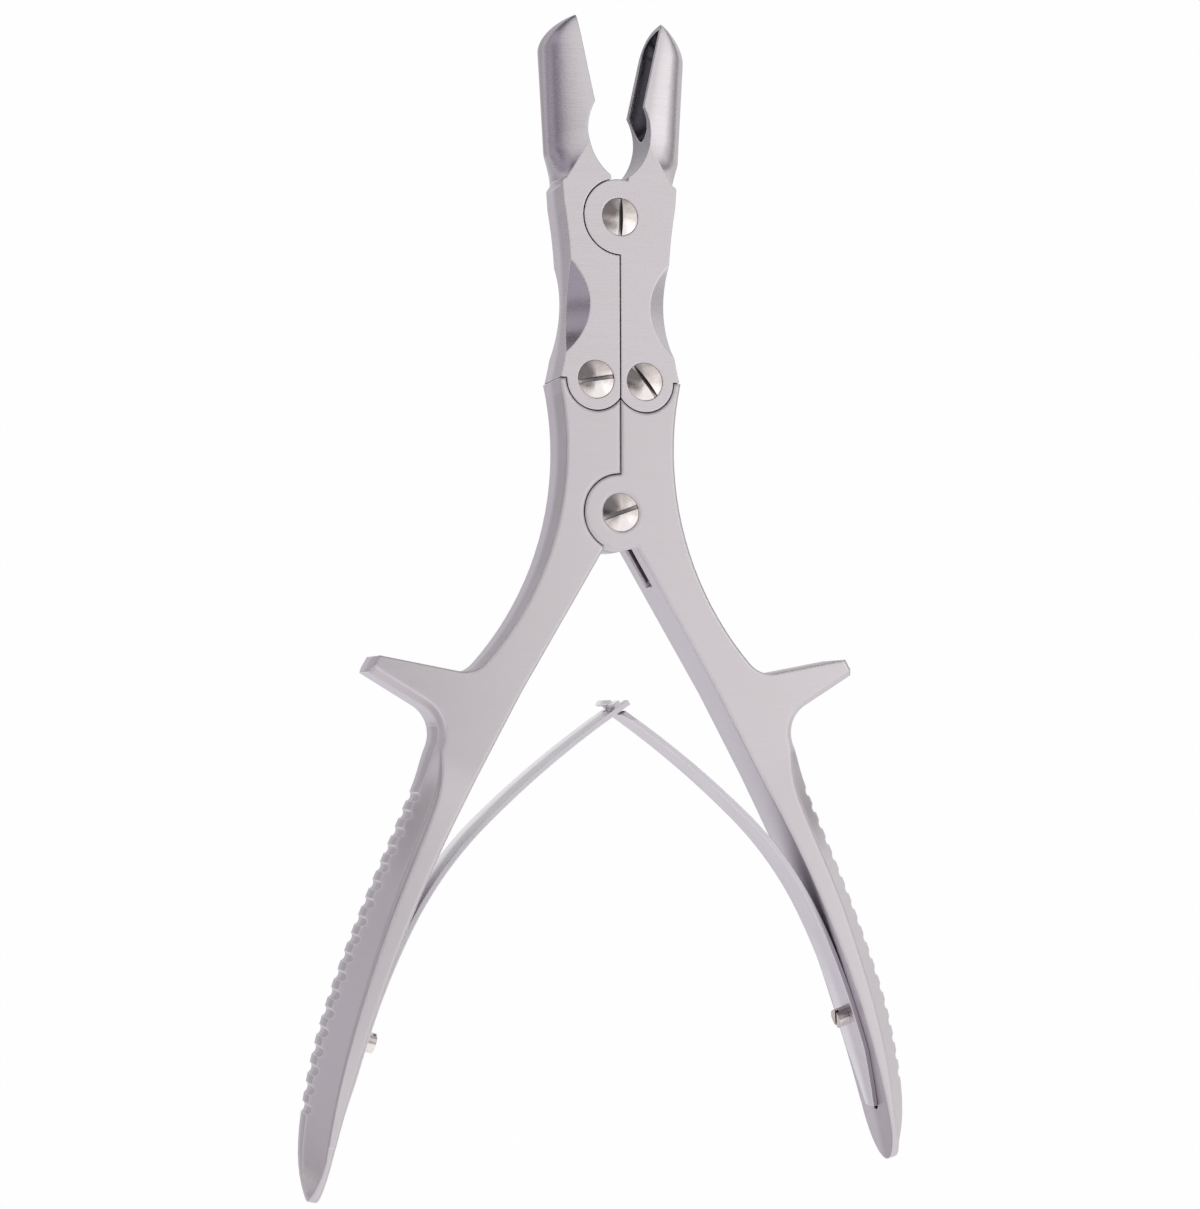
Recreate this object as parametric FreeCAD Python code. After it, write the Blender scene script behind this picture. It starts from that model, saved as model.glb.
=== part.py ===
import FreeCAD, Part
import math
import os

os.makedirs("parts", exist_ok=True)
V = FreeCAD.Vector
UP = V(0, 0, 1)

# Double-action bone rongeur lying on its back, millimetres and degrees.
# +Y runs from the grips to the jaws, +Z along the pivot screws, towards their heads.
# The origin is on the handle pivot, in the flat back face of the joint.
# Each piece is drawn on the right-hand side and mirrored for the left.

# Pivots
pivot_span = 69.0          # handle pivot to jaw pivot
link_height = 30.7         # handle pivot to the link pivots, along the instrument
link_offset = 6.0          # link pivots, from the centre line
jaw_swing = 12.6           # turn of each jaw from fully open to closed

# Flat body of the joint
body_depth = 12.0
cheek = 4.0                # each outer layer of a fork
disc_radius = 8.8          # fork discs at the jaw pivot and the handle pivot
lobe_radius = 7.1          # fork lobes at the link pivots
tongue_inset = 0.4         # a tongue is this much smaller than its fork, in radius
seam_gap = 0.3             # between neighbouring outlines
side_gap = 0.05            # between a tongue and each cheek

# Pivot screws
head_radius = 4.4
head_seat = 2.4            # depth of the head's seat below the front face
head_rim_drop = 0.1        # rim of the head below the front face
dome_rise = 0.75
head_slot_width = 0.95
head_slot_depth = 1.1
shank_radius = 2.8
thread_radius = 2.3
running_fit = 0.05         # radial
loose_fit = 0.12           # radial, at the jaw pivot
slot_turns = {"jaw": 90.0, "left_link": 11.0, "right_link": -50.0, "handle": 20.0}

# Jaws, drawn closed: the rim lies along the centre line
bite_gap = 0.3             # between the two rims when closed
jaw_reach = 48.1           # jaw pivot to the nose
nose_length = 6.3
nose_tip = 10.9            # height of the nose's end above the back face
nose_narrowing = 1.1       # power of the nose's taper in width
nose_closing = 0.6         # power of its taper in depth
nose_turns = [0.0, 12.0, 24.0, 36.0, 48.0, 60.0, 70.0, 78.0, 83.0]
root_height = 18.0         # from the jaw pivot to the jaw's widest place
root_width = 12.9          # rim to outside at the widest place
jaw_taper = 9.4            # angle between rim and outside beyond it
throat_top = 27.4          # corner where the rim ends, from the jaw pivot
throat_bottom = 10.0
throat_bulge = 3.3
cup_radius = 4.9
cup_depth = 6.0
cup_bottom = 20.2
cup_bottom_rounding = 7.0
cup_end_wall = 0.9         # left between the hollow and the nose
flat_corner_height = 9.6   # where the flat faces leave the jaw's outer edge
flat_corner_width = 12.1
flat_slope = 1.0           # from there their edge runs in to the rim at this slope
flat_fullness = 0.99       # share of the width that is still flat at the corner
flat_steps = 9

# Jaw tails
shoulder_half_width = 14.6
tail_waist = 12.0
tail_waist_height = 52.0
tail_hip = 13.8            # half width beside the jaw pivot
tail_hip_height = 72.0
scallop_height = 48.0
scallop_inset = 7.4        # inner end of the scallop, from the centre line
scallop_slope = 37.0
scallop_radius = 20.0

# Handle necks and finger horns
neck_half_width = 13.15
neck_height = 14.5
neck_radius = 73.0
horn_reach = 57.0          # upper corner of the horn's tip, from the centre line
horn_drop = 33.5           # upper corner of the horn's tip, below the handle pivot
horn_rise = 10.5           # slope of the horn's upper edge
horn_tip_length = 4.2
horn_tip_turn = 60.0
horn_under_slope = 31.0
horn_chamfer = 1.5
upper_crotch_radius = 7.0
lower_crotch_radius = 7.5
fork_cutter_radius = 16.0  # slitting cutter that leaves the slot below the handle pivot
fork_cutter_x = -4.0
fork_cutter_y = -8.0

# Grips: the inner face is straight down to the bend, then a long arc
bend_x = 38.5
bend_y = -67.8
grip_splay = 28.7
grip_radius = 302.0
grip_end = 91.0            # tip of the grip, past the bend
tip_rounding = 13.0
tip_half_depth = 7.2
crotch_splay = 31.0        # the inner faces open a little wider near the handle pivot
crotch_corner = -30.2      # where they change slope, past the bend

# Grip sections: distance past the bend, thickness, half depth,
# width of the front land, drop of the step beside it, half width of the outer strip
grip_sections = [
    (-5.0, 10.7, 6.2, 7.6, 0.9, 4.1),
    (-1.0, 10.1, 6.5, 6.2, 1.2, 3.7),
    (5.0, 9.6, 6.9, 5.2, 1.4, 3.4),
    (14.0, 9.1, 7.4, 4.6, 1.4, 3.3),
    (27.0, 8.8, 8.0, 4.2, 1.2, 3.2),
    (40.0, 8.65, 8.3, 3.6, 1.0, 3.2),
    (54.0, 8.45, 8.5, 3.0, 0.9, 3.2),
    (66.0, 7.7, 8.1, 2.4, 0.7, 3.0),
    (76.0, 6.6, 7.5, 1.6, 0.6, 2.6),
    (83.0, 5.2, 6.9, 1.0, 0.5, 2.0),
    (88.0, 3.4, 6.5, 0.7, 0.4, 1.4),
    (92.0, 1.2, 6.2, 0.4, 0.3, 0.8),
]
step_slope = 0.6           # width of the step for each millimetre of its drop
grip_root = -10.0          # where the grip leaves the flat body
grip_root_thickness = 11.5
grip_taper = 10.7          # the outer edge runs in by this angle at the root

# Serration of the outer strip
groove_count = 18
groove_start = 2.0
groove_pitch = 4.1
groove_radius = 1.2
groove_depth = 0.7

# Leaf springs
leaf_thickness = 1.2
leaf_width = 9.8
leaf_tip_width = 8.4
leaf_seat_gap = 0.05
leaf_tail = 77.5           # end of the leaf, past the bend of the grip
leaf_departure = 51.0      # where the leaf leaves the grip
leaf_root_length = 22.8     # three arcs lead from there towards the tip
leaf_root_turn = 8.4
leaf_bend_length = 29.1
leaf_bend_turn = 19.2
leaf_tip_length = 38.5
leaf_tip_turn = 9.6
leaf_overlap = 2.6         # each tip beyond the crossing
prong_slot = 3.6
prong_slot_length = 5.0
neck_width = 2.8
neck_length = 3.6
leaf_tail_width = 4.0
leaf_tail_taper = 14.0
hook_width = 2.4
hook_depth = 2.4
hook_hole_radius = 2.0
hook_hole_depth = 3.0

# Spring screws
spring_screw_along = 54.8
spring_head_radius = 2.25
spring_head_height = 2.6
spring_shank_radius = 1.3
spring_shank_depth = 4.5
spring_slot_width = 0.7
spring_slot_depth = 0.9
spring_slot_turn = 60.0

# Values that follow from the ones above
mid = body_depth / 2
half_gap = seam_gap / 2
jaw_pivot = V(0, pivot_span, 0)
handle_pivot = V(0, 0, 0)
right_link = V(link_offset, link_height, 0)
disc_tongue = disc_radius - tongue_inset
lobe_tongue = lobe_radius - tongue_inset
bend = V(bend_x, bend_y, 0)
margin = 5.0               # cutters run this far past what they cut
tiny = 0.001               # lengths and angles below this count as nothing


def box(x0, x1, y0, y1, z0, z1):
    return Part.makeBox(x1 - x0, y1 - y0, z1 - z0, V(x0, y0, z0))


def cylinder(radius, centre, z0, z1):
    return Part.makeCylinder(radius, z1 - z0, V(centre.x, centre.y, z0), UP)


def line(a, b):
    return Part.LineSegment(a, b).toShape()


def arc(a, b, c):
    return Part.Arc(a, b, c).toShape()


def prism(edges, z0, z1):
    face = Part.Face(Part.Wire(edges))
    face.translate(V(0, 0, z0))
    return face.extrude(V(0, 0, z1 - z0))


def mirrored(shape):
    return shape.mirror(V(0, 0, 0), V(1, 0, 0))


def tidy(shape):
    """The one solid of a boolean result."""
    shape = shape.removeSplitter()
    return max(shape.Solids, key=lambda solid: solid.Volume)


def heading(degrees):
    """Unit vector at an angle from +X."""
    return V(math.cos(math.radians(degrees)), math.sin(math.radians(degrees)), 0)


# Forks, tongues and screw holes

def add_fork(body, centre, radius, tongue):
    back = cylinder(radius, centre, 0, cheek)
    front = cylinder(radius, centre, body_depth - cheek, body_depth)
    slot = cylinder(tongue + seam_gap, centre, cheek, body_depth - cheek)
    return body.fuse([back, front]).cut(slot)


def add_tongue(body, centre, radius, tongue):
    low = cheek + side_gap
    high = body_depth - cheek - side_gap
    pocket = radius + seam_gap
    back = cylinder(pocket, centre, -margin, low)
    front = cylinder(pocket, centre, high, body_depth + margin)
    return body.cut([back, front]).fuse(cylinder(tongue, centre, low, high))


def drill_fork(body, centre):
    seat = body_depth - head_seat
    holes = [
        cylinder(head_radius + running_fit, centre, seat, body_depth + margin),
        cylinder(shank_radius + running_fit, centre, mid, seat),
        cylinder(thread_radius + running_fit, centre, -margin, mid),
    ]
    return body.cut(holes)


def drill_tongue(body, centre, fit):
    return body.cut(cylinder(shank_radius + fit, centre, cheek, body_depth - cheek))


def pivot_screw(centre, turn):
    """Flat-seated screw with a domed, slotted head that fills its counterbore."""
    seat = body_depth - head_seat
    rim = body_depth - head_rim_drop
    top = rim + dome_rise
    head = cylinder(head_radius, centre, seat, rim)
    sphere_radius = (head_radius ** 2 + dome_rise ** 2) / (2 * dome_rise)
    sphere = Part.makeSphere(sphere_radius, V(centre.x, centre.y, top - sphere_radius))
    dome = sphere.common(cylinder(head_radius, centre, rim, top))
    shank = cylinder(shank_radius, centre, cheek, seat)
    thread = cylinder(thread_radius, centre, 0, cheek)
    slot = slot_cutter(head_radius, head_slot_width, top - head_slot_depth, turn)
    slot.translate(centre)
    return tidy(head.fuse([dome, shank, thread]).cut(slot))


def slot_cutter(radius, width, floor, turn):
    """Cutter for the driver slot of a screw that stands upright on the origin."""
    reach = radius + margin
    slot = box(-reach, reach, -width / 2, width / 2, floor, floor + reach)
    slot.rotate(V(0, 0, 0), UP, turn)
    return slot


# Jaws

def closed_point(outward, along):
    """A point of the right jaw drawn closed, by its distance from the rim and from the jaw pivot."""
    return V(outward, pivot_span + along, 0)


def opened(shape):
    turned = shape.copy()
    turned.rotate(jaw_pivot, UP, -jaw_swing)
    return turned


def jaw_width_at(along):
    """Distance from the rim to the outside, which runs straight on both sides of the widest place."""
    if along >= root_height:
        return root_width - (along - root_height) * math.tan(math.radians(jaw_taper))
    corner_width = flat_corner_width / flat_fullness
    share = (along - flat_corner_height) / (root_height - flat_corner_height)
    return corner_width + (root_width - corner_width) * share


def oval_section(along):
    """Section of the oval bar from which the flat faces cut their part up to their edge."""
    edge = flat_corner_width - (along - flat_corner_height) * flat_slope
    width = jaw_width_at(along)
    flat_share = max(edge, 0) / width
    half_depth = mid / math.sqrt(1 - flat_share ** 2)
    return half_ellipse(along, width, mid - half_depth, mid + half_depth)


def half_ellipse(along, width, back, front):
    """Section square to the jaw: straight along the rim plane, rounded on the outside."""
    rim = bite_gap / 2
    middle = (back + front) / 2
    corner_weight = math.sqrt(0.5)
    spots = [(0, back), (width, back), (width, middle), (width, front), (0, front)]
    poles = []
    for outward, height in spots:
        place = closed_point(rim + outward, along)
        poles.append(V(place.x, place.y, height))
    curve = Part.BSplineCurve()
    weights = [1, corner_weight, 1, corner_weight, 1]
    curve.buildFromPolesMultsKnots(poles, [3, 2, 3], [0, 1, 2], False, 2, weights)
    return Part.Wire([curve.toShape(), line(poles[-1], poles[0])])


def closing_nose(start, length, width_at, back, front):
    """Blunt end whose back rises towards the front while its outside runs in to the rim."""
    sections = []
    for turn in nose_turns:
        share = math.cos(math.radians(turn))
        along = start + length * math.sin(math.radians(turn))
        width = width_at(along) * share ** nose_narrowing
        open_part = share ** nose_closing
        low = nose_tip + (back - nose_tip) * open_part
        high = nose_tip + (front - nose_tip) * open_part
        sections.append(half_ellipse(along, width, low, high))
    return Part.makeLoft(sections, True, False)


def barrel():
    """Outside of the jaw: half of an oval bar, flattened at its foot, with a blunt nose."""
    nose_start = jaw_reach - nose_length
    flat_end = flat_corner_height + flat_corner_width / flat_slope
    step = (flat_end - flat_corner_height) / flat_steps
    ovals = [oval_section(flat_corner_height + step * index) for index in range(flat_steps + 1)]
    first = Part.makeLoft(ovals[:2], True, True)
    oval = Part.makeLoft(ovals[1:], True, False)
    top = half_ellipse(nose_start, jaw_width_at(nose_start), 0, body_depth)
    bar = Part.makeLoft([ovals[-1], top], True, True)
    nose = closing_nose(nose_start, nose_length, jaw_width_at, 0, body_depth)
    return first.fuse([oval, bar, nose]).common(flat_layer())


def flat_layer():
    """The instrument's depth, round the whole drawing of a closed jaw."""
    reach = root_width + margin
    return box(-reach, reach, pivot_span, pivot_span + jaw_reach + margin, 0, body_depth)


def cup():
    """Hollow of the jaw: round bottomed, with its mouth in the rim plane."""
    nose_start = jaw_reach - nose_length
    low = cup_bottom + cup_bottom_rounding
    bottom = closed_point(0, cup_bottom)
    middle = closed_point(0, nose_start)
    side_low = closed_point(cup_radius, low)
    side_high = closed_point(cup_radius, nose_start)
    lower = Part.Ellipse(bottom, side_low, closed_point(0, low))
    outline = [
        lower.toShape(0, math.pi / 2),
        line(side_low, side_high),
        line(side_high, middle),
        line(middle, bottom),
    ]
    solid = Part.Face(Part.Wire(outline)).revolve(V(0, 0, 0), V(0, 1, 0), 360)
    deepen = FreeCAD.Matrix()
    deepen.scale(cup_depth / cup_radius, 1, 1)
    deepen.move(V(bite_gap / 2, 0, mid))
    solid = solid.transformGeometry(deepen)
    back = mid - cup_radius
    end = closing_nose(nose_start, nose_length - cup_end_wall, cup_depth_at, back, body_depth - back)
    return [solid, end]


def cup_depth_at(along):
    return cup_depth


def throat():
    """Half of the eye-shaped opening between the rims and the jaw pivot."""
    top = closed_point(bite_gap / 2, throat_top)
    bottom = closed_point(bite_gap / 2, throat_bottom)
    bulge = closed_point(bite_gap / 2 + throat_bulge, (throat_top + throat_bottom) / 2)
    inner = closed_point(-margin, throat_bottom)
    outer = closed_point(-margin, throat_top)
    edges = [arc(top, bulge, bottom), line(bottom, inner), line(inner, outer), line(outer, top)]
    return prism(edges, -margin, body_depth + margin)


def flipped(shape):
    """The same shape on the other face of the flat body."""
    return shape.mirror(V(0, 0, mid), UP)


def scallop_cutter():
    """Grinding wheel whose side leaves a sloped hollow facet on the tail's front edge."""
    slope = math.radians(scallop_slope)
    outward = V(math.cos(slope), 0, -math.sin(slope))
    normal = V(math.sin(slope), 0, math.cos(slope))
    start = V(scallop_inset, scallop_height, body_depth) + normal * scallop_radius
    foot = start - outward * shoulder_half_width
    length = 3 * shoulder_half_width
    return Part.makeCylinder(scallop_radius, length, foot, outward)


def opened_point(outward, along):
    """A point of the closed drawing of the right jaw, with the jaw open."""
    turned = heading(-jaw_swing) * outward + heading(90 - jaw_swing) * along
    return jaw_pivot + turned


def jaw_block():
    """Flat body of the jaw: tail with its waist, up to the corner of its flat faces."""
    foot = link_height + half_gap
    inner_foot = V(half_gap, foot, 0)
    outer_foot = V(shoulder_half_width, foot, 0)
    waist = V(tail_waist, tail_waist_height, 0)
    hip = V(tail_hip, tail_hip_height, 0)
    lower_span = (tail_waist_height - foot) / 2
    lower_bow = (shoulder_half_width - tail_waist) / 4
    upper_span = (tail_hip_height - tail_waist_height) / 2
    upper_bow = (tail_hip - tail_waist) / 4
    lower_mid = V(tail_waist + lower_bow, tail_waist_height - lower_span, 0)
    upper_mid = V(tail_waist + upper_bow, tail_waist_height + upper_span, 0)
    rim = bite_gap / 2
    outer_top = opened_point(rim + flat_corner_width, flat_corner_height)
    inner_top = opened_point(rim, flat_corner_height)
    inner_root = V(half_gap, pivot_span, 0)
    edges = [
        line(inner_foot, outer_foot),
        arc(outer_foot, lower_mid, waist),
        arc(waist, upper_mid, hip),
        line(hip, outer_top),
        line(outer_top, inner_top),
        line(inner_top, inner_root),
        line(inner_root, inner_foot),
    ]
    return prism(edges, 0, body_depth)


def plain_jaw():
    """Right jaw before its pivots are cut."""
    jaw = jaw_block().fuse(opened(barrel()))
    scallop = scallop_cutter()
    hollows = [opened(part) for part in cup()]
    return jaw.cut([opened(throat()), scallop, flipped(scallop)] + hollows)


def right_jaw():
    jaw = add_fork(plain_jaw(), jaw_pivot, disc_radius, disc_tongue)
    jaw = drill_fork(jaw, jaw_pivot)
    return tidy(jaw_tail(jaw))


def left_jaw():
    jaw = add_tongue(plain_jaw(), jaw_pivot, disc_radius, disc_tongue)
    jaw = drill_tongue(jaw, jaw_pivot, loose_fit)
    return mirrored(tidy(jaw_tail(jaw)))


def jaw_tail(jaw):
    """Fork of the link pivot, cut off at the centre line."""
    jaw = add_fork(jaw, right_link, lobe_radius, lobe_tongue)
    across = beyond_middle(0, pivot_span - disc_radius - seam_gap)
    return drill_fork(jaw.cut(across), right_link)


def beyond_middle(low, high):
    """Everything on the far side of the centre line, between two heights."""
    return box(-disc_radius - margin, half_gap, low, high, -margin, body_depth + margin)


# Handles

def grip_point(along):
    """A point of the inner edge, by its distance past the bend."""
    if along <= 0:
        return bend - heading(grip_splay - 90) * (-along)
    centre = bend - heading(grip_splay) * grip_radius
    return centre + heading(grip_turn(along)) * grip_radius


def grip_turn(along):
    """Direction of the outward normal of the inner edge."""
    return grip_splay - math.degrees(max(along, 0) / grip_radius)


def grip_place(along, outward, height):
    place = grip_point(along) + heading(grip_turn(along)) * outward
    return V(place.x, place.y, height)


def grip_section(along, thickness, half_depth, land, step, strip):
    step_width = step * step_slope
    front = [
        (0, half_depth),
        (land, half_depth),
        (land + step_width, half_depth - step),
        (thickness, strip),
    ]
    back = [(outward, -height) for outward, height in reversed(front)]
    corners = [grip_place(along, outward, mid + height) for outward, height in front + back]
    return Part.makePolygon(corners + [corners[0]])


def grip_root_section():
    """Section of the chamfered flat body, where the grip starts."""
    land = grip_root_thickness - horn_chamfer
    half = horn_chamfer / 2
    front = [
        (0, mid),
        (land, mid),
        (land + half, mid - half),
        (grip_root_thickness, mid - horn_chamfer),
    ]
    back = [(outward, -height) for outward, height in reversed(front)]
    corners = [grip_place(grip_root, outward, mid + height) for outward, height in front + back]
    return Part.makePolygon(corners + [corners[0]])


def grip():
    sections = [grip_root_section()] + [grip_section(*row) for row in grip_sections]
    body = Part.makeLoft(sections, True, False)
    return body.common(tip_envelope())


def tip_envelope():
    """Rounds the end of the grip, seen on its inner face."""
    root = grip_end - tip_rounding
    turn = grip_turn(root)
    across = grip_radius / 2
    round_bar = Part.makeCylinder(tip_half_depth, 2 * across, V(-across, 0, mid), V(1, 0, 0))
    stretch = FreeCAD.Matrix()
    stretch.scale(1, tip_rounding / tip_half_depth, 1)
    rounded = round_bar.transformGeometry(stretch)
    body = box(-across, across, 0, grip_radius, -body_depth, 2 * body_depth)
    envelope = rounded.fuse(body)
    envelope.rotate(V(0, 0, 0), UP, turn)
    envelope.translate(grip_point(root))
    return envelope


def thickness_at(along):
    """Thickness of the grip between two of its sections."""
    rows = [(grip_root, grip_root_thickness)] + [(row[0], row[1]) for row in grip_sections]
    for (start, first), (end, last) in zip(rows, rows[1:]):
        if along <= end:
            return first + (last - first) * (along - start) / (end - start)
    return rows[-1][1]


def grooves():
    """Cross grooves of the serrated outer strip."""
    cutters = []
    for index in range(groove_count):
        along = groove_start + index * groove_pitch
        outward = thickness_at(along) + groove_radius - groove_depth
        centre = grip_place(along, outward, 0)
        cutters.append(cylinder(groove_radius, centre, -margin, body_depth + margin))
    return cutters


def tangent_arc_between_lines(point_a, way_a, point_b, way_b, radius, side):
    """Start, middle and end of the arc between two lines; side points into the open corner."""
    normal_a = V(-way_a.y, way_a.x, 0)
    normal_b = V(-way_b.y, way_b.x, 0)
    if normal_a.dot(side) < 0:
        normal_a = normal_a * -1
    if normal_b.dot(side) < 0:
        normal_b = normal_b * -1
    start_a = point_a + normal_a * radius
    start_b = point_b + normal_b * radius
    between = start_b - start_a
    cross = way_a.x * way_b.y - way_a.y * way_b.x
    distance = (between.x * way_b.y - between.y * way_b.x) / cross
    centre = start_a + way_a * distance
    first = centre - normal_a * radius
    last = centre - normal_b * radius
    way = (normal_a + normal_b).normalize()
    return first, centre - way * radius, last


def upper_crotch(tip, way):
    """Arc that joins the neck's hollow side to the horn's upper edge."""
    neck_centre = V(neck_half_width + neck_radius, neck_height, 0)
    normal = V(-way.y, way.x, 0)
    start = tip + normal * upper_crotch_radius
    offset = start - neck_centre
    reach = neck_radius - upper_crotch_radius
    along = offset.dot(way)
    distance = -along - math.sqrt(along ** 2 - offset.dot(offset) + reach ** 2)
    centre = start + way * distance
    outward = (centre - neck_centre).normalize()
    first = centre + outward * upper_crotch_radius
    last = centre - normal * upper_crotch_radius
    middle = centre + (outward - normal).normalize() * upper_crotch_radius
    return first, middle, last


def horn_tip():
    return V(horn_reach, -horn_drop, 0)


def horn_corner():
    """Lower end of the horn's blunt tip."""
    return horn_tip() + heading(-horn_tip_turn) * horn_tip_length


def neck_edges():
    """Outer edge from the handle's top corner, down the neck and out to the horn's tip."""
    top = link_height - half_gap
    neck_centre = V(neck_half_width + neck_radius, neck_height, 0)
    shoulder_turn = 180 - math.degrees(math.asin((top - neck_height) / neck_radius))
    shoulder = neck_centre + heading(shoulder_turn) * neck_radius
    waist = neck_centre + heading(180) * neck_radius
    start, middle, end = upper_crotch(horn_tip(), heading(horn_rise))
    return [
        line(V(half_gap, top, 0), shoulder),
        arc(shoulder, waist, start),
        arc(start, middle, end),
        line(end, horn_tip()),
        line(horn_tip(), horn_corner()),
    ]


def under_edges():
    """Outer edge from the horn's tip to the root of the grip."""
    root = grip_place(grip_root, grip_root_thickness, 0)
    under_way = heading(180 + horn_under_slope)
    outer_way = heading(grip_splay - grip_taper - 90)
    start, middle, end = tangent_arc_between_lines(
        horn_corner(), under_way, root, outer_way, lower_crotch_radius, V(1, -1, 0))
    return [line(horn_corner(), start), arc(start, middle, end), line(end, root)]


def inner_edges():
    """Inner edge from the root of the grip up to the handle's top corner."""
    corner = grip_point(crotch_corner)
    rise = (corner.x - half_gap) / math.tan(math.radians(crotch_splay))
    points = [
        grip_place(grip_root, grip_root_thickness, 0),
        grip_point(grip_root),
        corner,
        V(half_gap, corner.y + rise, 0),
        V(half_gap, link_height - half_gap, 0),
    ]
    return [line(a, b) for a, b in zip(points, points[1:])]


def handle_plate():
    """Flat body of the right handle: neck and finger horn, down to the root of the grip."""
    plate = prism(neck_edges() + under_edges() + inner_edges(), 0, body_depth)
    marks = [edge.CenterOfMass for edge in under_edges()]
    chosen = []
    for edge in plate.Edges:
        centre = edge.CenterOfMass
        flat = V(centre.x, centre.y, 0)
        on_face = abs(centre.z) < tiny or abs(centre.z - body_depth) < tiny
        if on_face and min((flat - mark).Length for mark in marks) < tiny:
            chosen.append(edge)
    return plate.makeChamfer(horn_chamfer, chosen)


def plain_handle():
    """Right handle before its pivots are cut."""
    body = handle_plate().fuse(grip())
    hook_hole = grip_hole(leaf_tail - leaf_thickness / 2, hook_hole_radius, hook_hole_depth)
    screw_hole = grip_hole(spring_screw_along, spring_shank_radius + running_fit, spring_shank_depth)
    return body.cut(grooves() + [hook_hole, screw_hole])


def grip_hole(along, radius, depth):
    """Drill square to the inner face of the grip."""
    foot = grip_place(along, depth, mid)
    return Part.makeCylinder(radius, depth + margin, foot, heading(grip_turn(along)) * -1)


def link_tongue(handle):
    handle = add_tongue(handle, right_link, lobe_radius, lobe_tongue)
    across = beyond_middle(disc_radius + seam_gap, pivot_span)
    return drill_tongue(handle.cut(across), right_link, running_fit)


def right_handle():
    handle = link_tongue(plain_handle())
    handle = add_fork(handle, handle_pivot, disc_radius, disc_tongue)
    cutter_centre = V(fork_cutter_x, fork_cutter_y, 0)
    cutter = cylinder(fork_cutter_radius, cutter_centre, cheek, body_depth - cheek)
    return tidy(drill_fork(handle.cut(cutter), handle_pivot))


def left_handle():
    handle = link_tongue(plain_handle())
    handle = add_tongue(handle, handle_pivot, disc_radius, disc_tongue)
    return mirrored(tidy(drill_tongue(handle, handle_pivot, running_fit)))


# Leaf springs

def leaf_path():
    """Stretches of the leaf, tail to crossing: start, direction, length and turn to the left."""
    start = grip_place(leaf_tail, -leaf_seat_gap, 0)
    way = 90 + grip_turn(leaf_tail)
    seat_radius = grip_radius - leaf_seat_gap
    seat_turn = grip_turn(leaf_departure) - grip_turn(leaf_tail)
    stretches = [
        (seat_radius * math.radians(seat_turn), seat_turn),
        (leaf_root_length, leaf_root_turn),
        (leaf_bend_length, leaf_bend_turn),
        (leaf_tip_length, leaf_tip_turn),
    ]
    place = start
    path = []
    for length, turn in stretches:
        path.append((place, way, length, turn))
        place = walk(place, way, length, turn)
        way = way + turn
    last = -place.x / heading(way).x
    path.append((place, way, last, 0.0))
    return path


def walk(place, way, length, turn):
    """The end of an arc of this length that turns to the left."""
    if abs(turn) < tiny:
        return place + heading(way) * length
    radius = length / math.radians(turn)
    centre = place + heading(way + 90) * radius
    return centre - heading(way + turn + 90) * radius


def strip_edges(path, offset):
    """Edges of a curve that runs beside the path, to its left by the offset."""
    edges = []
    for place, way, length, turn in path:
        points = []
        for share in (0.0, 0.5, 1.0):
            side = heading(way + turn * share + 90)
            points.append(walk(place, way, length * share, turn * share) + side * offset)
        if abs(turn) < tiny:
            edges.append(line(points[0], points[2]))
        else:
            edges.append(arc(*points))
    return edges


def plain_leaf():
    """Bent strip with tapered tail, hook and screw hole; the tip isn't cut yet."""
    path = leaf_path()
    place, way, length, turn = path[-1]
    path[-1] = (place, way, length + leaf_overlap, turn)
    outer = strip_edges(path, 0)
    inner = strip_edges(path, leaf_thickness)
    tail = line(outer[0].Vertexes[0].Point, inner[0].Vertexes[0].Point)
    end = line(inner[-1].Vertexes[-1].Point, outer[-1].Vertexes[-1].Point)
    face = Part.Face(Part.Wire(Part.__sortEdges__([tail] + inner + [end] + outer)))
    face.translate(V(0, 0, mid - leaf_width / 2))
    leaf = face.extrude(V(0, 0, leaf_width))
    return leaf.cut(tail_cutters() + tip_cutters(path) + [leaf_hole()]).fuse(leaf_hook())


def tapered_cutter(origin, way, near, far, inset_near, inset_far):
    """Trims the front of the strip: inset from its edge grows from near to far along the way."""
    top = mid + leaf_width / 2
    across = heading(way + 90)
    forward = heading(way)
    over = top + margin
    corners = [(near, top - inset_near), (far, top - inset_far), (far, over), (near, over)]
    points = []
    for along, height in corners:
        place = origin + forward * along - across * leaf_width
        points.append(V(place.x, place.y, height))
    face = Part.Face(Part.makePolygon(points + [points[0]]))
    return face.extrude(across * (2 * leaf_width))


def tail_cutters():
    origin = grip_place(leaf_tail, 0, 0)
    way = 90 + grip_turn(leaf_tail)
    inset = (leaf_width - leaf_tail_width) / 2
    slope = inset / leaf_tail_taper
    front = tapered_cutter(origin, way, -margin, leaf_tail_taper, inset + slope * margin, 0)
    return [front, flipped(front)]


def tip_cutters(path):
    place, way, length, turn = path[-1]
    inset = (leaf_width - leaf_tip_width) / 2
    slope = inset / (leaf_tip_length + length)
    front = tapered_cutter(place, way, -leaf_tip_length, length + margin, 0, inset + slope * margin)
    return [front, flipped(front)]


def leaf_hole():
    return grip_hole(spring_screw_along, spring_shank_radius + running_fit, margin)


def leaf_hook():
    """Tab at the leaf's tail, bent into the hole of the grip."""
    hook = Part.makeBox(hook_depth + leaf_seat_gap + leaf_thickness, leaf_thickness, hook_width,
                        V(-leaf_thickness - leaf_seat_gap, 0, mid - hook_width / 2))
    hook.rotate(V(0, 0, 0), UP, grip_turn(leaf_tail))
    hook.translate(grip_point(leaf_tail))
    return hook


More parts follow.
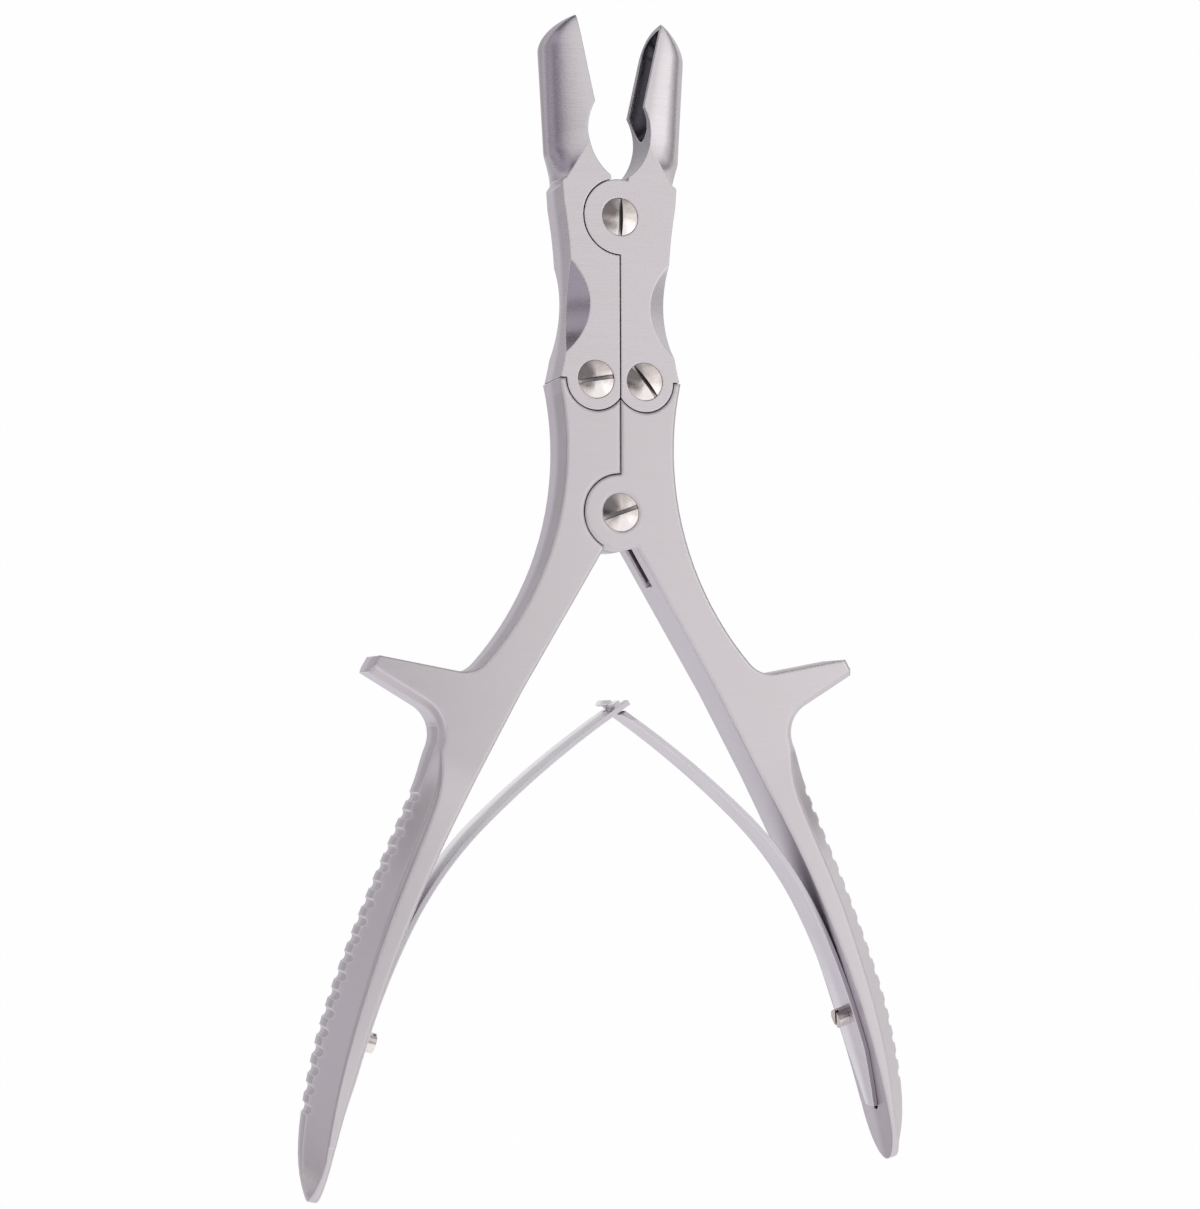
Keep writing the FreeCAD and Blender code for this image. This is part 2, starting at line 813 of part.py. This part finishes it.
def tip_box(along0, along1, half_width0, half_width1):
    """Block across the leaf's tip between two distances from the crossing, in front of the middle."""
    place, way, length, turn = leaf_path()[-1]
    crossing = place + heading(way) * length
    block = box(along0, along1, -leaf_width, leaf_width, mid + half_width0, mid + half_width1)
    block.rotate(V(0, 0, 0), UP, way)
    block.translate(crossing)
    return block


def forked_leaf():
    """Leaf whose tip is split into two prongs."""
    half = prong_slot / 2
    slot = tip_box(leaf_overlap - prong_slot_length, leaf_overlap + margin, -half, half)
    return tidy(plain_leaf().cut(slot))


def necked_leaf():
    """Leaf whose tip is narrowed to a neck with a crosspiece at its end."""
    front = tip_box(-neck_length / 2, neck_length / 2, neck_width / 2, leaf_width)
    return tidy(plain_leaf().cut([front, flipped(front)]))


def spring_screw():
    """Cheese-head screw square to the grip; the rim of its head rests on the hollow of the leaf."""
    hollow_radius = grip_radius - leaf_seat_gap - leaf_thickness
    hollow_depth = spring_head_radius ** 2 / (2 * hollow_radius)
    seat = leaf_seat_gap + leaf_thickness + hollow_depth
    top = seat + spring_head_height
    origin = V(0, 0, 0)
    head = cylinder(spring_head_radius, origin, seat, top)
    shank = cylinder(spring_shank_radius, origin, -spring_shank_depth, seat)
    slot = slot_cutter(spring_head_radius, spring_slot_width, top - spring_slot_depth, spring_slot_turn)
    screw = head.fuse(shank).cut(slot)
    screw.rotate(V(0, 0, 0), V(0, 1, 0), -90)
    screw.rotate(V(0, 0, 0), UP, grip_turn(spring_screw_along))
    screw.translate(grip_place(spring_screw_along, 0, mid))
    return tidy(screw)


nodes = {
    "left_handle": left_handle(),
    "right_handle": right_handle(),
    "left_jaw": left_jaw(),
    "right_jaw": right_jaw(),
    "jaw_pivot_screw": pivot_screw(jaw_pivot, slot_turns["jaw"]),
    "handle_pivot_screw": pivot_screw(handle_pivot, slot_turns["handle"]),
    "left_link_screw": pivot_screw(V(-link_offset, link_height, 0), slot_turns["left_link"]),
    "right_link_screw": pivot_screw(right_link, slot_turns["right_link"]),
    "left_leaf_spring": mirrored(forked_leaf()),
    "right_leaf_spring": necked_leaf(),
    "left_spring_screw": mirrored(spring_screw()),
    "right_spring_screw": spring_screw(),
}

for name, shape in nodes.items():
    shape.exportStep("parts/" + name + ".step")
    print(name, shape.isValid(), len(shape.Solids), round(shape.Volume, 1))
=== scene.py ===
import math

import bmesh
import bpy
from mathutils import Matrix, Vector


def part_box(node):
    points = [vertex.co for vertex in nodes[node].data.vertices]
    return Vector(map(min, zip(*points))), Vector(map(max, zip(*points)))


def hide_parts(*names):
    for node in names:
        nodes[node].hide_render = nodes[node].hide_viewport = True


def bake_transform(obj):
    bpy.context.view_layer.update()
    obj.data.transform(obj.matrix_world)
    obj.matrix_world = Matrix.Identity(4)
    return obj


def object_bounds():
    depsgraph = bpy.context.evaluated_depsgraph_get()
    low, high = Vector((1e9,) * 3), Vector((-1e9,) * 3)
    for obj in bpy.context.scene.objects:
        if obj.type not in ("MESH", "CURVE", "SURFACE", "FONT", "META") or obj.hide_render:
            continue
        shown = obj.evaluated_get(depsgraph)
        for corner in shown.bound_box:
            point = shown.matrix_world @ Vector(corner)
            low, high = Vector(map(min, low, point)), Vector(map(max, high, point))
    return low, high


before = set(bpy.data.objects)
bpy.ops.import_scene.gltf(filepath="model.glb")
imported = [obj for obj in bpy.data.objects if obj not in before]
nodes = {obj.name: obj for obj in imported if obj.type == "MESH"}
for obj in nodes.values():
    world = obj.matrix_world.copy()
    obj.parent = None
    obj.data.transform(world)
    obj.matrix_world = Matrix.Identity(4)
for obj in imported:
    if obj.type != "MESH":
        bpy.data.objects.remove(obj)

cad_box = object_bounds()
MM = 0.001
FLOOR_HEIGHT = cad_box[0].z
JOINT_MIDDLE = Vector((0.0, 0.0, 6.0)) * MM

# The camera looks at the front of the joint from the instrument's left, a little from the grips' side.
IMAGE_WIDTH = 1200
FOCAL_PIXELS = 2175.0
SENSOR_WIDTH = 36.0
CAMERA_DISTANCE = 0.505
CAMERA_TURN = math.radians(20.0)
CAMERA_DROP = math.radians(3.3)
CAMERA_ROLL = math.radians(0.15)
CAMERA_TARGET = Vector((-3.05, -21.0, 6.0)) * MM
NEAREST_SEEN = 0.01
FARTHEST_SEEN = 20.0

# Tones of the steel
FLAT_TONE = (0.64, 0.60, 0.625)          # ground faces of the flat body
SHADED_SIDE_TONE = (0.335, 0.30, 0.345)         # painted shade on the belt-ground edges
SHADED_FRONT_SIDE_TONE = (0.16, 0.145, 0.16)    # painted shade: the front half of those edges passes into this darker one
SHADED_BARREL_TONE = (0.43, 0.395, 0.45)        # painted shade on the rounded outside of the left jaw
LIT_LOWER_SIDE_TONE = (0.56, 0.52, 0.58)          # painted light on edges that look towards the grips' ends
LINE_TONE = (0.46, 0.43, 0.46)           # grinding lines
CLOUD_TONE = (0.60, 0.56, 0.55)          # clouds in the grinding
SHADED_INNER_TONE = (0.22, 0.20, 0.23)          # painted shade on the biting sides of the jaws
HOLLOW_SHADE_TONE = (0.072, 0.068, 0.080)      # painted shade in hollows, slots and gaps
EDGE_HIGHLIGHT_TONE = (0.93, 0.90, 0.94)           # painted highlight along the edges
SCREW_TONE = (0.66, 0.60, 0.58)
SCREW_CLOUD_TONE = (0.42, 0.37, 0.36)
DARK_REFLECTION_WEDGE_TONE = (0.10, 0.085, 0.09)    # painted dark reflection in wedges on the screws' domes
# painted highlight in wedges on the screws' domes
HIGHLIGHT_WEDGE_TONE = (0.92, 0.87, 0.86)
SPRING_TONE = (0.60, 0.575, 0.62)
WHITE = (1.0, 1.0, 1.0)

# Where one tone passes into another: the value at which the change starts, and the one at which it ends.
# A share of open surroundings is 1 on a free face and 0 deep inside a slot.
FLAT_TURN = (0.30, 0.95)                 # the normal's Z, from the edges to the flats
BARREL_TURN = (0.25, 0.50)               # the normal's Z
LOWER_TURN = (-0.15, -0.45)              # the normal's Y
INNER_TURN = (0.03, 0.15)                # the normal's X
HOLLOW_TURN = (0.10, 0.55)               # the normal's Z
FRONT_DEPTH = (3.5 * MM, 7.0 * MM)       # height over the back face
EDGE_HIGHLIGHT_TURN = (0.98, 0.85)               # cosine between the face and a narrow rounding
DARK_WEDGE_TURN = (0.55, 0.95)           # cosine between the dome's lean and the wedge's middle
LIGHT_WEDGE_TURN = (0.40, 0.90)
WEDGE_TILT = (0.01, 0.12)                # slope of the dome
NOISE_SPAN = (0.3, 0.7)                  # value of a noise
CLOUD_SPAN = (0.35, 0.65)
SHELTER_SPAN = 0.40                      # share of open surroundings over which painted shade darkens a piece
SCREW_SHELTER = (0.85, 0.45)             # share of open surroundings

# How much of the second tone there is at the end of the change
FRONT_SHARE = 0.55
LINE_SHARE = 0.14
CLOUD_SHARE = 0.10
SCREW_CLOUD_SHARE = 0.45
WEDGE_SHARE = 0.85
HOLLOW_SHARE = 0.95
EDGE_HIGHLIGHT_SHARE = 0.65
BACK_SIDE_GAIN = 1.35                    # painted light: the back half of the edges is lighter by this factor

# Scales of the noises along the three axes, in cells per metre
ACROSS_SCALE = (160.0, 9000.0, 2600.0)
LENGTHWISE_SCALE = (300.0, 300.0, 2600.0)
CLOUD_SCALE = (70.0, 70.0, 70.0)
SCREW_CLOUD_SCALE = (700.0, 700.0, 700.0)
COARSE_SHARE = 0.3                       # scale of the coarse lines against that of the fine ones

DARK_WEDGE_WAY = (-0.87, 0.50, 0.0)      # where the middle of a wedge lies, seen from the dome's top
LIGHT_WEDGE_WAY = (0.30, -0.95, 0.0)
GLOSS_SPREAD = (-0.03, 0.04)             # added to the roughness by the coarse lines
SCREW_GLOSS_SPREAD = (-0.04, 0.06)
SATIN_STRETCH = 0.7                      # how far highlights are drawn out square to the lines
TURNED_STRETCH = 0.75
QUARTER_TURN = 0.25                      # of a full turn
NOISE_ROUGHNESS = 0.6
SHELTER_SAMPLES = 8
ROUNDING_SAMPLES = 6

GRINDING_DEPTH = 0.008 * MM
SPRING_GRINDING_DEPTH = 0.001 * MM
GRINDING_STRENGTH = 0.25
EDGE_HIGHLIGHT_RADIUS = 0.45 * MM
SCREW_EDGE_RADIUS = 0.15 * MM
SCREW_SHELTER_REACH = 1.5 * MM           # how far off a face can shelter another


# Materials

def add(tree, kind, **settings):
    """Node whose settings are given by the names of its inputs or properties."""
    node = tree.nodes.new(kind)
    for key, value in settings.items():
        if key in node.inputs:
            node.inputs[key].default_value = value
        else:
            setattr(node, key, value)
    return node


def streaks(tree, scale, detail):
    """Noise drawn out into fine lines by unequal scales along the axes."""
    coordinates = add(tree, "ShaderNodeTexCoord")
    mapping = add(tree, "ShaderNodeMapping", Scale=scale)
    noise = add(tree, "ShaderNodeTexNoise", Scale=1.0, Detail=detail, Roughness=NOISE_ROUGHNESS)
    tree.links.new(coordinates.outputs["Object"], mapping.inputs["Vector"])
    tree.links.new(mapping.outputs["Vector"], noise.inputs["Vector"])
    return noise.outputs["Fac"]


def remap(tree, value, span, low=0.0, high=1.0, curve="LINEAR"):
    """Value that passes from low to high while the given one passes through the span."""
    limits = {"From Min": span[0], "From Max": span[1], "To Min": low, "To Max": high}
    node = add(tree, "ShaderNodeMapRange", interpolation_type=curve, **limits)
    tree.links.new(value, node.inputs["Value"])
    return node.outputs["Result"]


def mixed(tree, factor, first, second):
    """Colour between two tones or colour sockets."""
    node = add(tree, "ShaderNodeMix", data_type="RGBA")
    tree.links.new(factor, node.inputs[0])
    for socket, value in ((node.inputs[6], first), (node.inputs[7], second)):
        if isinstance(value, tuple):
            socket.default_value = (*value, 1.0)
        else:
            tree.links.new(value, socket)
    return node.outputs[2]


def absolute(tree, value):
    node = add(tree, "ShaderNodeMath", operation="ABSOLUTE")
    tree.links.new(value, node.inputs[0])
    return node.outputs[0]


def grinding_tangent(tree, normal, facing, sideways):
    """Direction square to the grinding lines: those run across the flats and lengthwise on the sides."""
    lines = add(tree, "ShaderNodeCombineXYZ", Z=0.0)
    tree.links.new(facing, lines.inputs["X"])
    tree.links.new(sideways, lines.inputs["Y"])
    cross = add(tree, "ShaderNodeVectorMath", operation="CROSS_PRODUCT")
    tree.links.new(normal, cross.inputs[0])
    tree.links.new(lines.outputs[0], cross.inputs[1])
    return cross.outputs[0]


def sheltered(tree, distance):
    """Factor that falls from 1 in the open to 0 deep inside slots, hollows and gaps."""
    node = add(tree, "ShaderNodeAmbientOcclusion", Distance=distance, samples=SHELTER_SAMPLES,
               only_local=True)
    return node.outputs["AO"]


def rounding(tree, radius):
    """Normal of the surface with its edges rounded."""
    node = add(tree, "ShaderNodeBevel", Radius=radius, samples=ROUNDING_SAMPLES)
    return node.outputs[0]


def edge_highlight(tree, normal):
    """Factor of a painted highlight, which rises where a narrow rounding would turn away from the face
    itself.
    """
    turn = add(tree, "ShaderNodeVectorMath", operation="DOT_PRODUCT")
    tree.links.new(rounding(tree, EDGE_HIGHLIGHT_RADIUS), turn.inputs[0])
    tree.links.new(normal, turn.inputs[1])
    return remap(tree, turn.outputs["Value"], EDGE_HIGHLIGHT_TURN, high=EDGE_HIGHLIGHT_SHARE)


def metal(name, stretch):
    """New metallic material, with its tree and its shader."""
    material = bpy.data.materials.new(name)
    material.use_nodes = True
    shader = material.node_tree.nodes["Principled BSDF"]
    shader.inputs["Metallic"].default_value = 1.0
    shader.inputs["Anisotropic"].default_value = stretch
    return material, material.node_tree, shader


def shaded_side_tone(tree, side, facing, normal_y, height, barrel):
    """Painted shade and light on the edges: darker near the front face and lighter where they look at the
    grips' ends.
    """
    # painted shade on the edges, darkest near the front face
    front_half = remap(tree, height, FRONT_DEPTH, high=FRONT_SHARE, curve="SMOOTHSTEP")
    back_tone = tuple(BACK_SIDE_GAIN * part for part in side)
    tone = mixed(tree, front_half, back_tone, SHADED_FRONT_SIDE_TONE)
    # painted light on edges that look towards the grips' ends
    tone = mixed(tree, remap(tree, normal_y, LOWER_TURN), tone, LIT_LOWER_SIDE_TONE)
    # painted shade on the left jaw's barrel
    if barrel:
        tone = mixed(tree, remap(tree, facing, BARREL_TURN), tone, SHADED_BARREL_TONE)
    return tone


def steel(name, roughness, edge, shelter, deepest=0.05, turn=FLAT_TURN, inward=0.0, barrel=False,
          flat=FLAT_TONE, side=SHADED_SIDE_TONE, scale=ACROSS_SCALE, depth=GRINDING_DEPTH):
    """Satin steel: fine grinding lines, cloudy tone, painted shade and light on the sides, painted shade in
    hollows, and softly rounded edges with a painted highlight.

    Faces that look along X with the sign of inward are the jaw's biting side, which gets painted shade."""
    material, tree, shader = metal(name, SATIN_STRETCH)
    fine = streaks(tree, scale, detail=3.0)
    coarse = streaks(tree, tuple(COARSE_SHARE * axis for axis in scale), detail=2.0)
    clouds = streaks(tree, CLOUD_SCALE, detail=2.0)
    geometry = add(tree, "ShaderNodeNewGeometry")
    normal = add(tree, "ShaderNodeSeparateXYZ")
    place = add(tree, "ShaderNodeSeparateXYZ")
    tree.links.new(geometry.outputs["True Normal"], normal.inputs[0])
    tree.links.new(geometry.outputs["Position"], place.inputs[0])
    facing = absolute(tree, normal.outputs["Z"])
    sideways = absolute(tree, normal.outputs["X"])

    # painted shade and light on the edges, set by the way each face is turned
    side = shaded_side_tone(tree, side, facing, normal.outputs["Y"], place.outputs["Z"], barrel)
    tone = mixed(tree, remap(tree, facing, turn), side, flat)
    tone = mixed(tree, remap(tree, fine, NOISE_SPAN, high=LINE_SHARE), tone, LINE_TONE)
    tone = mixed(tree, remap(tree, clouds, CLOUD_SPAN, high=CLOUD_SHARE), tone, CLOUD_TONE)
    # painted shade on the jaw's biting side, deepest in its hollow
    if inward:
        biting = remap(tree, normal.outputs["X"], tuple(inward * limit for limit in INNER_TURN))
        inner_shade = mixed(tree, remap(tree, facing, HOLLOW_TURN), SHADED_INNER_TONE, HOLLOW_SHADE_TONE)
        tone = mixed(tree, biting, tone, inner_shade)
    # painted shade in slots, hollows and gaps
    shade = remap(tree, sheltered(tree, shelter), (deepest + SHELTER_SPAN, deepest), high=HOLLOW_SHARE)
    tone = mixed(tree, shade, tone, HOLLOW_SHADE_TONE)
    # painted highlight along the edges
    tone = mixed(tree, edge_highlight(tree, geometry.outputs["Normal"]), tone, EDGE_HIGHLIGHT_TONE)
    tree.links.new(tone, shader.inputs["Base Color"])

    smoothest, roughest = (roughness + change for change in GLOSS_SPREAD)
    gloss = remap(tree, coarse, NOISE_SPAN, smoothest, roughest)
    tree.links.new(gloss, shader.inputs["Roughness"])
    tangent = grinding_tangent(tree, geometry.outputs["True Normal"], facing, sideways)
    tree.links.new(tangent, shader.inputs["Tangent"])
    bump = add(tree, "ShaderNodeBump", Strength=GRINDING_STRENGTH, Distance=depth)
    tree.links.new(fine, bump.inputs["Height"])
    tree.links.new(rounding(tree, edge), bump.inputs["Normal"])
    tree.links.new(bump.outputs[0], shader.inputs["Normal"])
    return material


def wedge(tree, way, span):
    """Factor of a painted reflection wedge on a dome, from the middle outwards, where the dome leans towards
    way.
    """
    geometry = add(tree, "ShaderNodeNewGeometry")
    level = add(tree, "ShaderNodeVectorMath", operation="MULTIPLY")
    level.inputs[1].default_value = (1.0, 1.0, 0.0)
    unit = add(tree, "ShaderNodeVectorMath", operation="NORMALIZE")
    lean = add(tree, "ShaderNodeVectorMath", operation="DOT_PRODUCT")
    lean.inputs[1].default_value = way
    tilt = add(tree, "ShaderNodeVectorMath", operation="LENGTH")
    both = add(tree, "ShaderNodeMath", operation="MULTIPLY")
    tree.links.new(geometry.outputs["Normal"], level.inputs[0])
    tree.links.new(level.outputs[0], unit.inputs[0])
    tree.links.new(unit.outputs[0], lean.inputs[0])
    tree.links.new(level.outputs[0], tilt.inputs[0])
    tree.links.new(remap(tree, lean.outputs["Value"], span, high=WEDGE_SHARE), both.inputs[0])
    tree.links.new(remap(tree, tilt.outputs["Value"], WEDGE_TILT), both.inputs[1])
    return both.outputs[0]


def turned(name, roughness):
    """Turned and polished steel: its lines run round the piece's own axis, and its domes get a painted dark
    reflection and a painted highlight in wedges.
    """
    material, tree, shader = metal(name, TURNED_STRETCH)
    shader.inputs["Anisotropic Rotation"].default_value = QUARTER_TURN
    clouds = streaks(tree, SCREW_CLOUD_SCALE, detail=3.0)
    cloudy = remap(tree, clouds, NOISE_SPAN, high=SCREW_CLOUD_SHARE)
    # painted shade where the screw is sheltered
    shade = remap(tree, sheltered(tree, SCREW_SHELTER_REACH), SCREW_SHELTER, high=HOLLOW_SHARE)
    tone = mixed(tree, cloudy, SCREW_TONE, SCREW_CLOUD_TONE)
    # painted dark reflection and painted highlight in wedges on the dome
    tone = mixed(tree, wedge(tree, DARK_WEDGE_WAY, DARK_WEDGE_TURN), tone, DARK_REFLECTION_WEDGE_TONE)
    tone = mixed(tree, wedge(tree, LIGHT_WEDGE_WAY, LIGHT_WEDGE_TURN), tone, HIGHLIGHT_WEDGE_TONE)
    tone = mixed(tree, shade, tone, HOLLOW_SHADE_TONE)
    tree.links.new(tone, shader.inputs["Base Color"])
    smoothest, roughest = (roughness + change for change in SCREW_GLOSS_SPREAD)
    gloss = remap(tree, clouds, NOISE_SPAN, smoothest, roughest)
    tree.links.new(gloss, shader.inputs["Roughness"])
    tangent = add(tree, "ShaderNodeTangent", direction_type="RADIAL", axis="Z")
    tree.links.new(tangent.outputs[0], shader.inputs["Tangent"])
    tree.links.new(rounding(tree, SCREW_EDGE_RADIUS), shader.inputs["Normal"])
    return material


def jaw_steel(name, inward, **settings):
    """Steel of a jaw: smoother than the handles', with painted shade only where it is well sheltered."""
    return steel(name, roughness=0.27, edge=0.5 * MM, shelter=9.0 * MM, deepest=0.40, inward=inward,
                 **settings)


handle_steel = steel("handle_steel", roughness=0.32, edge=1.2 * MM, shelter=4.0 * MM, turn=(0.30, 0.75))
left_jaw_steel = jaw_steel("left_jaw_steel", inward=1.0, turn=(0.87, 0.995), barrel=True)
right_jaw_steel = jaw_steel("right_jaw_steel", inward=-1.0)
spring_steel = steel("spring_steel", roughness=0.26, edge=0.30 * MM, shelter=2.0 * MM, flat=SPRING_TONE,
                     side=SPRING_TONE, scale=LENGTHWISE_SCALE, depth=SPRING_GRINDING_DEPTH)
screw_steel = turned("screw_steel", roughness=0.22)

# A jaw's finish goes by the node's whole name, and the others' by its last word
FINISHES = {"left_jaw": left_jaw_steel, "right_jaw": right_jaw_steel, "handle": handle_steel,
            "screw": screw_steel, "spring": spring_steel}


def dress(piece, material):
    piece.data.materials.clear()
    piece.data.materials.append(material)


for name, piece in nodes.items():
    dress(piece, FINISHES.get(name) or FINISHES[name.rsplit("_", 1)[1]])


# Leaf springs, cut across into short slices

LEAF_STEP = 2.0 * MM
WELD_DISTANCE = 0.001 * MM
CUT_TOLERANCE = 0.0001 * MM
FLAT_ANGLE = math.radians(0.5)
SHARP_ANGLE = math.radians(35)


def cut_across(shape, low, high):
    """Cut the mesh into slices that are LEAF_STEP long."""
    height = low + LEAF_STEP
    while height < high:
        everything = shape.verts[:] + shape.edges[:] + shape.faces[:]
        bmesh.ops.bisect_plane(shape, geom=everything, dist=CUT_TOLERANCE, plane_co=(0, height, 0),
                               plane_no=(0, 1, 0))
        height += LEAF_STEP


def leaf(side):
    """Leaf spring rebuilt from the model's one and cut into slices between its screw and its tip."""
    source = nodes[side + "_leaf_spring"]
    low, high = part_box(side + "_leaf_spring")
    shape = bmesh.new()
    shape.from_mesh(source.data)
    bmesh.ops.remove_doubles(shape, verts=shape.verts, dist=WELD_DISTANCE)
    bmesh.ops.dissolve_limit(shape, angle_limit=FLAT_ANGLE, verts=shape.verts, edges=shape.edges)
    cut_across(shape, low.y, high.y)
    mesh = bpy.data.meshes.new(side + "_leaf")
    shape.to_mesh(mesh)
    shape.free()
    mesh.shade_smooth()
    mesh.set_sharp_from_angle(angle=SHARP_ANGLE)
    piece = bpy.data.objects.new(side + "_leaf", mesh)
    bpy.context.scene.collection.objects.link(piece)
    dress(piece, spring_steel)
    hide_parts(side + "_leaf_spring")
    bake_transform(piece)


for side, sign in (("left", -1.0), ("right", 1.0)):
    leaf(side)


# Floor, light and camera

FLOOR_REACH = 3.0
FLOOR_GLOW = 0.985                       # share of white in what the camera sees of the floor
PAPER_COLOUR = (0.90, 0.90, 0.905, 1.0)
ROOM_COLOUR = (0.93, 0.92, 0.96, 1.0)
ROOM_STRENGTH = 0.55


def background(tree, strength=1.0):
    """Factor that is 1 for the camera's own rays and for those that metal sends on."""
    path = add(tree, "ShaderNodeLightPath")
    seen = add(tree, "ShaderNodeMath", operation="MAXIMUM")
    also = add(tree, "ShaderNodeMath", operation="MAXIMUM")
    share = add(tree, "ShaderNodeMath", operation="MULTIPLY")
    tree.links.new(path.outputs["Is Camera Ray"], seen.inputs[0])
    tree.links.new(path.outputs["Is Glossy Ray"], seen.inputs[1])
    tree.links.new(seen.outputs[0], also.inputs[0])
    tree.links.new(path.outputs["Is Transmission Ray"], also.inputs[1])
    tree.links.new(also.outputs[0], share.inputs[0])
    share.inputs[1].default_value = strength
    return share.outputs[0]


def either(tree, factor, first, second, output):
    """Give the output the first shader, and the second one as far as the factor goes."""
    both = add(tree, "ShaderNodeMixShader")
    tree.links.new(factor, both.inputs[0])
    tree.links.new(first.outputs[0], both.inputs[1])
    tree.links.new(second.outputs[0], both.inputs[2])
    tree.links.new(both.outputs[0], output.inputs["Surface"])


def bare_material(name):
    """New material with an output and nothing else, its tree and that output."""
    material = bpy.data.materials.new(name)
    material.use_nodes = True
    tree = material.node_tree
    tree.nodes.clear()
    return material, tree, add(tree, "ShaderNodeOutputMaterial")


def sheet(name, corners, material):
    """Four-cornered surface that belongs to the studio."""
    mesh = bpy.data.meshes.new(name)
    mesh.from_pydata(corners, [], [(0, 1, 2, 3)])
    mesh.materials.append(material)
    surface = bpy.data.objects.new(name, mesh)
    bpy.context.scene.collection.objects.link(surface)
    return surface


def make_floor():
    material, tree, output = bare_material("floor_white")
    paper = add(tree, "ShaderNodeBsdfDiffuse", Color=PAPER_COLOUR)
    white = add(tree, "ShaderNodeEmission", Color=(*WHITE, 1.0), Strength=1.0)
    either(tree, background(tree, FLOOR_GLOW), paper, white, output)
    square = ((-1, -1), (1, -1), (1, 1), (-1, 1))
    corners = [(x * FLOOR_REACH, y * FLOOR_REACH, FLOOR_HEIGHT) for x, y in square]
    sheet("floor", corners, material)


def make_world():
    world = bpy.data.worlds.new("studio")
    bpy.context.scene.world = world
    world.use_nodes = True
    tree = world.node_tree
    tree.nodes.clear()
    soft = add(tree, "ShaderNodeBackground", Color=ROOM_COLOUR, Strength=ROOM_STRENGTH)
    white = add(tree, "ShaderNodeBackground", Color=(*WHITE, 1.0), Strength=1.0)
    either(tree, background(tree), soft, white, add(tree, "ShaderNodeOutputWorld"))


def towards(direction, distance):
    """Placement on a sphere round the joint, facing it."""
    way = Vector(direction).normalized()
    turn = way.to_track_quat("Z", "Y").to_matrix().to_4x4()
    return Matrix.Translation(JOINT_MIDDLE + way * distance) @ turn


def softbox(name, direction, distance, size, power, colour):
    """Square lamp that faces the joint."""
    data = bpy.data.lights.new(name, "AREA")
    data.shape = "SQUARE"
    data.size = size
    data.energy = power
    data.color = colour
    lamp = bpy.data.objects.new(name, data)
    lamp.matrix_world = towards(direction, distance)
    bpy.context.scene.collection.objects.link(lamp)


def mirrored(name, corners, tone, rise=None, placement=Matrix()):
    """Surface that only metal mirrors: of one tone, or passing from it to white over a rise of heights."""
    material, tree, output = bare_material(name)
    glow = add(tree, "ShaderNodeEmission", Color=(*tone, 1.0), Strength=1.0)
    tree.links.new(glow.outputs[0], output.inputs["Surface"])
    if rise:
        geometry = add(tree, "ShaderNodeNewGeometry")
        place = add(tree, "ShaderNodeSeparateXYZ")
        tree.links.new(geometry.outputs["Position"], place.inputs[0])
        share = remap(tree, place.outputs["Z"], rise, curve="SMOOTHSTEP")
        tree.links.new(mixed(tree, share, tone, WHITE), glow.inputs["Color"])
    surface = sheet(name, corners, material)
    surface.matrix_world = placement
    surface.visible_camera = False
    surface.visible_diffuse = False
    surface.visible_shadow = False
    surface.visible_transmission = False


def screen(name, direction, distance, width, height, tone, dark_until):
    """Upright screen on the floor, dark at its foot and white at its top."""
    way = Vector((*direction, 0.0)).normalized()
    along = Vector((-way.y, way.x, 0.0)) * width / 2
    foot = way * distance + Vector((0.0, 0.0, FLOOR_HEIGHT))
    top = foot + Vector((0.0, 0.0, height))
    corners = [foot - along, foot + along, top + along, top - along]
    mirrored(name, corners, tone, (dark_until, height))


def card(name, direction, distance, width, height, tone):
    """Dark card that faces the joint."""
    x, y = width / 2, height / 2
    corners = [(-x, -y, 0), (x, -y, 0), (x, y, 0), (-x, y, 0)]
    mirrored(name, corners, tone, placement=towards(direction, distance))


def make_camera():
    turn, drop = CAMERA_TURN, CAMERA_DROP
    back = Vector((-math.sin(turn) * math.cos(drop), -math.sin(drop), math.cos(turn) * math.cos(drop)))
    right = Vector((math.cos(turn), 0.0, math.sin(turn)))
    up = back.cross(right)
    level = Matrix((right, up, back)).transposed()
    roll = Matrix.Rotation(-CAMERA_ROLL, 3, "Z")
    data = bpy.data.cameras.new("camera")
    data.sensor_fit = "HORIZONTAL"
    data.sensor_width = SENSOR_WIDTH
    data.lens = data.sensor_width * FOCAL_PIXELS / IMAGE_WIDTH
    data.clip_start = NEAREST_SEEN
    data.clip_end = FARTHEST_SEEN
    camera = bpy.data.objects.new("camera", data)
    camera.matrix_world = Matrix.Translation(CAMERA_TARGET + back * CAMERA_DISTANCE) @ (level @ roll).to_4x4()
    bpy.context.scene.collection.objects.link(camera)
    bpy.context.scene.camera = camera


make_floor()
make_world()
softbox("key", direction=(0.95, 0.15, 0.75), distance=0.9, size=0.6, power=0.5, colour=(1.0, 0.985, 0.97))
softbox("fill", direction=(-0.55, -0.3, 1.0), distance=0.9, size=0.5, power=0.2, colour=(0.97, 0.97, 1.0))
screen("screen_left", direction=(-1.0, 0.0), distance=0.60, width=2.4, height=1.45,
       tone=(0.64, 0.61, 0.66), dark_until=0.10)
screen("screen_low_left", direction=(-1.0, 0.0), distance=0.58, width=2.4, height=0.10,
       tone=(0.12, 0.10, 0.11), dark_until=0.05)
screen("screen_top", direction=(0.0, 1.0), distance=0.70, width=1.2, height=0.90,
       tone=(0.10, 0.08, 0.08), dark_until=0.25)
screen("screen_right", direction=(0.86, 0.50), distance=0.60, width=1.1, height=0.30,
       tone=(0.30, 0.28, 0.30), dark_until=0.02)
card("card_camera", direction=(-0.36, 0.10, 0.93), distance=0.62, width=0.15, height=0.90,
     tone=(0.02, 0.02, 0.02))
make_camera()

scene = bpy.context.scene
scene.view_settings.view_transform = "Standard"
